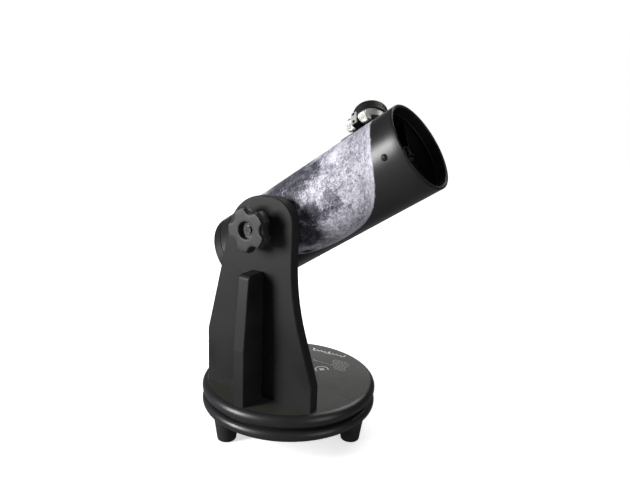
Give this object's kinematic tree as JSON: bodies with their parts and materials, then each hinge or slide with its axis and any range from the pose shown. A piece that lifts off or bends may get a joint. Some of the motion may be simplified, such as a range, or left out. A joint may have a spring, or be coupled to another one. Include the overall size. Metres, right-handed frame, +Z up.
{
  "type": "tabletop reflecting telescope",
  "caption": "Short open-mouth reflector tube with a moon-surface print on a one-arm tilting mount, star knob, round turntable base and tapered feet",
  "frame": {"origin": "point on the table plane under the azimuth axis, at the middle of the round base", "axes": "+Z up along the azimuth axis, +X the compass direction the tube points in, +Y away from the arm"},
  "size_m": [0.2658, 0.2, 0.3743],
  "materials": {
    "board_laminate": "satin olive-black laminate with a fine pebbled grain and pale printed marks",
    "arm_laminate": "matt black vinyl laminate with a fine grain",
    "edge_moulding": "satin black extruded edging",
    "foot_rubber": "matt black moulded rubber",
    "zinc_steel": "bright zinc-plated steel",
    "black_steel": "black oxide steel",
    "nylon": "natural nylon",
    "knob_plastic": "satin black moulded plastic",
    "tube_print": "steel tube with satin black paint and a printed cratered moon surface",
    "black_plastic": "satin black moulded plastic",
    "black_paint": "matt black paint",
    "mirror_coat": "aluminised glass",
    "bright_metal": "satin chrome plated metal",
    "drawtube_metal": "grey anodised aluminium",
    "cover_metal": "bright pressed aluminium",
    "brass": "machined brass",
    "lens_glass": "coated optical glass"
  },
  "bodies": {
    "base": {"foot_1": "foot_rubber", "foot_2": "foot_rubber", "foot_3": "foot_rubber", "foot_screws": "zinc_steel", "lower_board": "board_laminate", "lower_edge_band": "edge_moulding", "slide_pads": "nylon", "azimuth_bolt": "zinc_steel", "azimuth_washer": "zinc_steel", "azimuth_nut": "zinc_steel"},
    "turntable": {"upper_board": "board_laminate", "upper_edge_band": "edge_moulding", "azimuth_bushing": "nylon", "side_arm": "arm_laminate", "gusset_rib": "arm_laminate", "arm_screws": "black_steel", "rib_screws": "black_steel", "altitude_bushing": "nylon", "friction_disc": "nylon", "knob_washer": "black_steel"},
    "optical_tube": {"main_tube": "tube_print", "front_ring": "black_plastic", "rear_cap": "black_plastic", "tube_bracket": "black_plastic", "bracket_screws": "black_steel", "altitude_bolt": "zinc_steel", "primary_mirror": "mirror_coat", "mirror_cell": "black_plastic", "mirror_clips": "black_paint", "clip_screws": "black_steel", "cell_screws": "black_steel", "spider": "black_paint", "spider_screws": "black_steel", "spider_nuts": "zinc_steel", "secondary_mirror": "mirror_coat", "secondary_holder": "black_plastic", "secondary_bolt": "black_steel", "tilt_screws": "black_steel", "focuser_housing": "black_plastic", "pinion_cover": "cover_metal", "pinion_cover_screws": "black_steel", "focuser_screws": "black_steel", "focuser_nuts": "zinc_steel"},
    "clamp_knob": {"altitude_knob": "knob_plastic", "knob_insert": "brass"},
    "drawtube_slide": {"drawtube": "drawtube_metal", "focus_rack": "brass"},
    "pinion": {"pinion_shaft": "brass", "focus_knob_front": "bright_metal", "focus_knob_rear": "bright_metal"},
    "eyepiece": {"eyepiece_barrel": "bright_metal", "eyepiece_body": "black_plastic", "field_lens": "lens_glass", "eye_lens": "lens_glass"},
    "thumbscrew": {"eyepiece_thumbscrew": "bright_metal"}
  },
  "joints": [
    {"name": "azimuth_turn", "type": "hinge", "parent": "base", "child": "turntable", "pos_m": [0, 0, 0.0585], "axis": [0, 0, 1], "continuous": true},
    {"name": "altitude_tilt", "type": "hinge", "parent": "turntable", "child": "optical_tube", "pos_m": [0, 0, 0.2447], "axis": [0, -1, 0], "range_deg": [-33.4, 56.6]},
    {"name": "altitude_knob_turn", "type": "hinge", "parent": "optical_tube", "child": "clamp_knob", "pos_m": [0, -0.07, 0.2447], "axis": [0, -1, 0], "range_deg": [0, 360]},
    {"name": "focus_slide", "type": "slide", "parent": "optical_tube", "child": "drawtube_slide", "axis": [-0.4217, 0.6428, 0.6395], "range_m": [0, 0.032]},
    {"name": "pinion_turn", "type": "hinge", "parent": "optical_tube", "child": "pinion", "pos_m": [0.06286, 0.02046, 0.35173], "axis": [0.8348, 0, 0.5505], "range_deg": [0, 436.54]},
    {"name": "eyepiece_slide", "type": "slide", "parent": "drawtube_slide", "child": "eyepiece", "axis": [-0.4217, 0.6428, 0.6395], "range_m": [0, 0.03]},
    {"name": "thumbscrew_turn", "type": "hinge", "parent": "drawtube_slide", "child": "thumbscrew", "pos_m": [0.04892, 0.03622, 0.35101], "axis": [-0.785, -0.6118, 0.0973], "range_deg": [0, 360]}
  ],
  "couplings": [
    {"joint": "pinion_turn", "follows": "focus_slide", "rad_per_m": 238.1}
  ]
}
